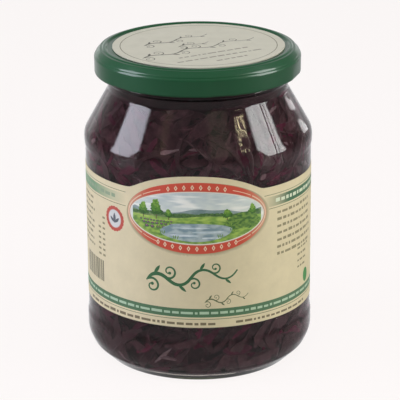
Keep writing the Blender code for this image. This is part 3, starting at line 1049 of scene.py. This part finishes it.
def side_print():
    """Small print at the sides, a row of bars with no figures, and a green spot."""
    rng = random.Random(9)
    shapes = text_block(rng, 35.9, 64.0, 72.7, 7, 2.98, 1.15, GREY_INK, 0.1)
    shapes += text_block(rng, 50.0, 61.0, 53.0, 4, 2.7, 0.9, GREY_INK, 0.25)
    shapes += text_block(rng, -66.0, -52.5, 73.2, 9, 2.55, 0.95, GREY_INK, 0.35)
    for row in range(8):
        low = 66.2 - 2.35 * row
        shapes.append((box_outline(-46.0, low, -44.2, low + 0.9), GREY_INK))
        if row > 1:
            shapes.append((box_outline(-49.4, low, -47.4, low + 0.9), GREY_INK))
    x = -63.0
    while x < -45.4:
        width = rng.choice((0.4, 0.75, 1.2))
        shapes.append((box_outline(x, 38.4, x + width, 47.6), BAR_INK))
        x += width + rng.choice((0.35, 0.55, 0.8))
    shapes.append((ellipse(58.2, 38.6, 2.5, 3.1, count=30), linear("#3F8A45")))
    shapes += text_block(rng, 70.0, 112.0, 72.0, 9, 3.0, 1.1, GREY_INK)
    shapes += text_block(rng, -112.0, -74.0, 72.0, 9, 3.0, 1.1, GREY_INK)
    return shapes


def seal():
    """A round red seal with a toothed edge, a pale middle and a plain leaf mark."""
    cx, cy = -37.6, 68.4
    teeth = 20
    count = teeth * 5
    edge = []
    for index in range(count):
        t = tau * index / count
        r = 5.15 + 0.3 * abs(cos(teeth * t / 2))
        edge.append((cx + r * cos(t), cy + r * sin(t)))
    shapes = [(edge, linear("#BF5344")), (ellipse(cx, cy, 3.85, 3.95, count=40), linear("#C8A79C"))]
    shapes.append((ellipse(cx, cy, 3.6, 3.7, count=40), linear("#D6D6D2")))
    blades = ((0.1, -2.0, 92.0, 4.6, 1.5), (-0.1, -1.6, 138.0, 3.3, 1.2), (0.3, -1.6, 44.0, 3.3, 1.2))
    for x, y, turn, length, width in blades:
        shapes.append((leaf(cx + x, cy + y, radians(turn), length, width), linear("#5E6268")))
    return shapes


def tendril(x, y, turn, size, side, width):
    """A tendril that winds up: the knots of a spiral that starts at (x, y) and heads along turn."""
    cx = x - side * size * sin(turn)
    cy = y + side * size * cos(turn)
    knots = []
    for step in range(12):
        t = step / 11
        reach = size * (1.0 - 0.78 * t)
        angle = turn - side * pi / 2 + side * t * radians(400.0)
        knots.append((cx + reach * cos(angle), cy + reach * sin(angle), width * (1.0 - 0.55 * t)))
    return knots


def running_vine(x0, y0, x1, y1, swing, waves, width, ink, leaf_size=1.0):
    """A running scroll from one point to another. Its stem turns by swing degrees to each side in a
    number of waves, and grows finer. In each bend a tendril winds up and ends in a bud, and a leaf
    stands on the outside of the bend."""
    per_wave = 24
    half = per_wave // 2
    steps = per_wave * waves
    places = [(0.0, 0.0)]
    headings = []
    for step in range(steps):
        turn = radians(swing) * cos(tau * (step + 0.5) / per_wave)
        headings.append(turn)
        places.append((places[-1][0] + cos(turn), places[-1][1] + sin(turn)))
    scale = hypot(x1 - x0, y1 - y0) / places[-1][0]
    lean = atan2(y1 - y0, x1 - x0)
    places = moved(places, x0, y0, lean, scale)
    stem = [(*places[step], width * (1.1 - 0.7 * step / steps) * min(1.0, 0.3 + 0.14 * step))
            for step in range(0, steps + 1, 2)]
    shapes = stroke(stem, 3, ink)
    for bend in range(2 * waves):
        side = 1 if bend % 2 == 0 else -1
        share = 1.0 - 0.35 * bend / (2 * waves)
        leave = max(1, bend * half - 1)
        x, y = places[leave]
        turn = headings[leave] + lean - side * 0.25
        winding = tendril(x, y, turn, scale * half * 0.3 * share, -side, width * 0.65 * share)
        shapes += stroke(winding, 4, ink)
        bud_x, bud_y, _ = winding[-1]
        bud = width * 0.45 * share
        shapes.append((ellipse(bud_x, bud_y, bud, bud, count=10), ink))
        crest = bend * half + half // 2 - 1
        x, y = places[crest]
        blade = scale * half * 0.42 * share * leaf_size
        shapes.append((leaf(x, y, headings[crest] + lean + side * 0.75, blade, blade * 0.3), ink))
    return shapes


def flourish():
    """A pen-drawn vine under the ring, and a small one below its end."""
    shapes = running_vine(-21.4, 45.6, 16.6, 51.0, 46.0, 2, 1.6, VINE_GREEN)
    shapes += running_vine(3.0, 37.4, 21.4, 40.2, 42.0, 2, 0.55, VINE_OLIVE)
    return shapes


def lay_on_jar(u, z):
    """Where a point of the flat label lies on the jar, in metres."""
    turn = u / LABEL_RADIUS + LABEL_TURN
    height = z + LABEL_TILT * u
    return (LABEL_RADIUS * sin(turn) * MM, -LABEL_RADIUS * cos(turn) * MM, height * MM)


def body_label():
    """The paper wrap round the jar, with all its print."""
    steps = 200
    across = [-LABEL_REACH + 2 * LABEL_REACH * index / steps for index in range(steps + 1)]
    outline = [(u, LABEL_LOW) for u in across[::8]] + [(u, label_top(u)) for u in across[::-1]]
    shapes = [(outline, CREAM)]
    shapes += foot_band() + side_bands() + side_print() + red_ring() + picture() + seal() + flourish()
    fields = ((-LABEL_REACH, LABEL_LOW, LABEL_REACH, LABEL_SIDE_TOP + ARCH_RISE, 1.6),
              (-PICTURE_A, LABEL_MIDDLE - PICTURE_B, PICTURE_A, LABEL_MIDDLE + PICTURE_B, 0.55))
    piece = printed_paper("wrap_label", shapes, fields, lay_on_jar, PAPER)
    finish_piece(piece, paper_material("offset_printed_label_paper", 0.5), "label_paper", "label")


# The lid's round label

def lid_print():
    """The round sheet, a line near its edge, three vines, and broken lines of small print below."""
    ink = linear("#55534A")
    faint = linear("#8F8C7E")
    radius = DISC_RADIUS - DISC_EDGE
    shapes = [(ellipse(0.0, 0.0, radius, radius, count=180), linear("#C9C6B5"))]
    line = radius * 0.91
    turns = [radians(degrees) for degrees in range(0, 361, 4)]
    circle = [(line * cos(t), line * sin(t), 0.35) for t in turns]
    shapes += stroke(circle, 1, linear("#77745F"))
    shapes += running_vine(-22.5, -1.4, 3.4, 17.6, 30.0, 2, 0.8, ink, 0.9)
    shapes += running_vine(-8.4, -3.4, 4.0, 5.2, 28.0, 1, 0.65, ink, 0.9)
    shapes += running_vine(-22.5, -21.0, 23.0, 11.6, 30.0, 3, 0.8, ink, 0.9)
    rng = random.Random(3)
    for x0, y0, x1, y1 in ((-7.6, -21.4, 21.2, -4.2), (-8.2, -28.2, 26.4, -7.6), (7.6, -25.6, 20.0, -17.6)):
        lean = atan2(y1 - y0, x1 - x0)
        for outline, tone in dashes(rng, 0.0, hypot(x1 - x0, y1 - y0), 0.0, 1.2, 4.0, faint):
            shapes.append((moved(outline, x0, y0, lean), tone))
    return shapes


def lid_label():
    """The round label in the lid's sunk panel."""
    def lay_on_lid(x, y):
        return ((x + DISC_SHIFT) * MM, y * MM, DISC_TOP * MM)

    fields = ((-DISC_RADIUS, -DISC_RADIUS, DISC_RADIUS, DISC_RADIUS, 3.0),)
    piece = printed_paper("lid_disc_label", lid_print(), fields, lay_on_lid, DISC_PAPER)
    finish_piece(piece, paper_material("matt_lid_label_paper", 0.62), "lid_paper", "lid_label")


# The studio: a white table, two tall soft boxes beside the jar, cards and small lamps for the other
# reflections, and lights for matt things from above and from both sides

JAR_MIDDLE = Vector((0.0, 0.0, 0.06))


def area_light(name, place, size, power, colour, fade, seen_in, cloud=None, roll=0.0):
    """A rectangular light aimed at the jar, and rolled about its aim by some degrees. Fade is the part
    of its half width over which its edge darkens. Cloud (across, up, low, high) breaks its face up
    with a noise of that many lumps each way, dark below low and full above high. A light is seen only
    in the shine, or only as light on matt things."""
    light = bpy.data.lights.new(name, "AREA")
    light.shape = "RECTANGLE"
    light.size, light.size_y = size
    light.energy = power
    light.color = linear(colour)[:3]
    light.use_nodes = True
    where = add(light, "NewGeometry").outputs["Parametric"]
    shares = []
    soft_step = {"interpolation_type": "SMOOTHSTEP"}
    if fade:
        across = add(light, "SeparateXYZ", Vector=where)
        for axis in ("X", "Y"):
            inwards = add(light, "Math", {"operation": "PINGPONG"}, _0=across.outputs[axis], _1=0.5)
            shares.append(add(light, "MapRange", soft_step, Value=inwards, From_Max=fade / 2))
    if cloud:
        spread = add(light, "Mapping", Vector=where, Scale=(cloud[0], cloud[1], 1.0))
        puffs = add(light, "TexNoise", Vector=spread, Scale=1.0, Detail=3.0, Roughness=0.6)
        shares.append(add(light, "MapRange", soft_step, Value=puffs, From_Min=cloud[2], From_Max=cloud[3]))
    strength = 1.0
    for share in shares:
        strength = add(light, "Math", {"operation": "MULTIPLY"}, _0=share, _1=strength)
    if shares:
        emission = light.node_tree.nodes["Emission"]
        light.node_tree.links.new(strength.outputs[0], emission.inputs["Strength"])
    lamp = placed(name, light)
    lamp.location = place
    lamp.rotation_euler = (JAR_MIDDLE - Vector(place)).to_track_quat("-Z", "Y").to_euler()
    lamp.rotation_euler.rotate_axis("Z", radians(roll))
    if seen_in == "shine":
        lamp.visible_diffuse = False
    if seen_in == "matt":
        lamp.visible_glossy = False
        lamp.visible_transmission = False


def studio_floor():
    """A white light table: it is seen, and it is seen through the glass, but it isn't mirrored."""
    deselect_all()
    bpy.ops.mesh.primitive_plane_add(size=8.0)
    floor = bpy.context.active_object
    floor.name = "studio_floor"
    table = new_material("white_light_table")
    white = linear("#F5F1F0")
    paint = add(table, "BsdfPrincipled", Base_Color=(*(0.08 * part for part in white[:3]), 1.0),
                Roughness=0.9, Specular_IOR_Level=0.0, Emission_Color=white, Emission_Strength=1.0)
    add(table, "OutputMaterial", Surface=paint)
    floor.data.materials.append(table)
    floor.visible_glossy = False
    floor.visible_diffuse = False
    floor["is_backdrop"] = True


def studio_air():
    """Dim towards the camera and brighter behind the jar, as a room lit from its back is, with some
    light from above and more from below, off the table. Where it is seen past the table it is white."""
    world = bpy.data.worlds.new("studio_air")
    world.use_nodes = True
    background = world.node_tree.nodes["Background"]
    background.inputs["Color"].default_value = linear("#F4F4F6")
    where = add(world, "TexCoord")
    along = add(world, "VectorMath", {"operation": "DOT_PRODUCT"}, _0=where.outputs["Generated"],
                _1=(-0.1, 0.995, 0.0))
    backwards = add(world, "MapRange", Value=along.outputs["Value"], From_Min=-1.0, From_Max=1.0)
    room = add(world, "ValToRGB", Fac=backwards)
    levels = ((0.0, 0.16), (0.5, 0.08), (0.7, 0.09), (0.8, 0.20), (0.9, 0.45), (1.0, 0.80))
    while len(room.color_ramp.elements) < len(levels):
        room.color_ramp.elements.new(0.5)
    for stop, (place, level) in zip(room.color_ramp.elements, levels):
        stop.position = place
        stop.color = (level, level, level, 1.0)
    axes = add(world, "SeparateXYZ", Vector=where.outputs["Generated"])
    table = add(world, "MapRange", Value=axes.outputs["Z"], From_Min=-0.35, From_Max=0.0, To_Min=0.24,
                To_Max=0.0)
    ceiling = add(world, "MapRange", Value=axes.outputs["Z"], From_Min=0.3, From_Max=0.8, To_Min=0.0,
                  To_Max=0.14)
    ends = add(world, "Math", {"operation": "ADD"}, _0=table, _1=ceiling)
    both = add(world, "Math", {"operation": "ADD"}, _0=room, _1=ends)
    path = add(world, "LightPath")
    shown = add(world, "Math", {"operation": "MAXIMUM"}, _0=both, _1=path.outputs["Is Camera Ray"])
    world.node_tree.links.new(shown.outputs[0], background.inputs["Strength"])
    bpy.context.scene.world = world


# Name, place, (width, height), power, colour, fade, where it is seen, cloud and roll
LIGHTS = (
    ("soft_box_left", (-0.85, -0.13, 0.43), (0.50, 0.92), 10.6, "#F0F0FF", 0.25, "shine"),
    ("soft_box_right", (0.85, -0.13, 0.43), (0.50, 0.92), 12.0, "#FFFFFF", 0.25, "shine",
     (5.0, 5.0, -0.1, 0.55)),
    ("card_front_left", (-0.53, -0.64, 0.70), (0.36, 0.45), 0.30, "#FFDBB7", 0.6, "shine",
     (3.0, 6.0, 0.3, 0.7)),
    ("card_front_right", (0.35, -0.74, 0.73), (0.52, 0.45), 0.20, "#EEFFCC", 0.6, "shine"),
    ("lamp_right", (0.7790, -0.5600, 0.771), (0.26, 0.032), 0.50, "#FFEFC0", 0.4, "shine",
     (7.0, 22.0, 0.50, 0.56), -13.0),
    ("glare_high_right", (0.802, 0.8914, 0.200), (0.40, 0.016), 0.05, "#FFFFFF", 0.5, "shine",
     None, -28.0),
    ("glare_low_right", (0.7746, 0.9162, 0.145), (0.40, 0.026), 0.08, "#FFFFFF", 0.5, "shine",
     None, -28.0),
    ("back_card", (0.0, 1.3, 0.20), (2.6, 0.35), 1.2, "#FFFFFF", 0.3, "shine"),
    ("key_above_front", (0.0, -0.80, 1.30), (1.3, 0.9), 9.7, "#FFFFFF", 0.0, "matt"),
    ("fill_left", (-0.85, -0.20, 0.35), (0.66, 0.85), 8.1, "#ECEEFF", 0.0, "matt"),
    ("fill_right", (0.85, -0.20, 0.35), (0.66, 0.85), 6.5, "#FFFDF6", 0.0, "matt"),
)


def studio():
    studio_floor()
    studio_air()
    for light in LIGHTS:
        area_light(*light)


def camera():
    """The photograph's camera, fitted to the outlines of the jar, the lid and the label."""
    tilt = radians(18.95)
    roll = radians(-0.40)
    distance = 900.0
    target = Vector((0.58, 0.0, 65.3))
    back = Vector((0.0, -cos(tilt), sin(tilt)))
    up = Vector((0.0, sin(tilt), cos(tilt)))
    right = Vector((1.0, 0.0, 0.0))
    image_right = right * cos(roll) + up * sin(roll)
    image_up = up * cos(roll) - right * sin(roll)
    lens = bpy.data.cameras.new("photo_camera")
    lens.sensor_width = 36.0
    lens.lens = 191.7
    eye = placed("photo_camera", lens)
    turn = Matrix((image_right, image_up, back)).transposed().to_4x4()
    eye.matrix_world = Matrix.Translation((target + back * distance) * MM) @ turn
    bpy.context.scene.camera = eye


camera()
glass_jar()
brine()
cabbage()
lid()
lid_label()
body_label()
studio()
bpy.context.scene.view_settings.view_transform = "Standard"

[[list(map(float, corner)) for corner in box] for box in (cad_box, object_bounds())]
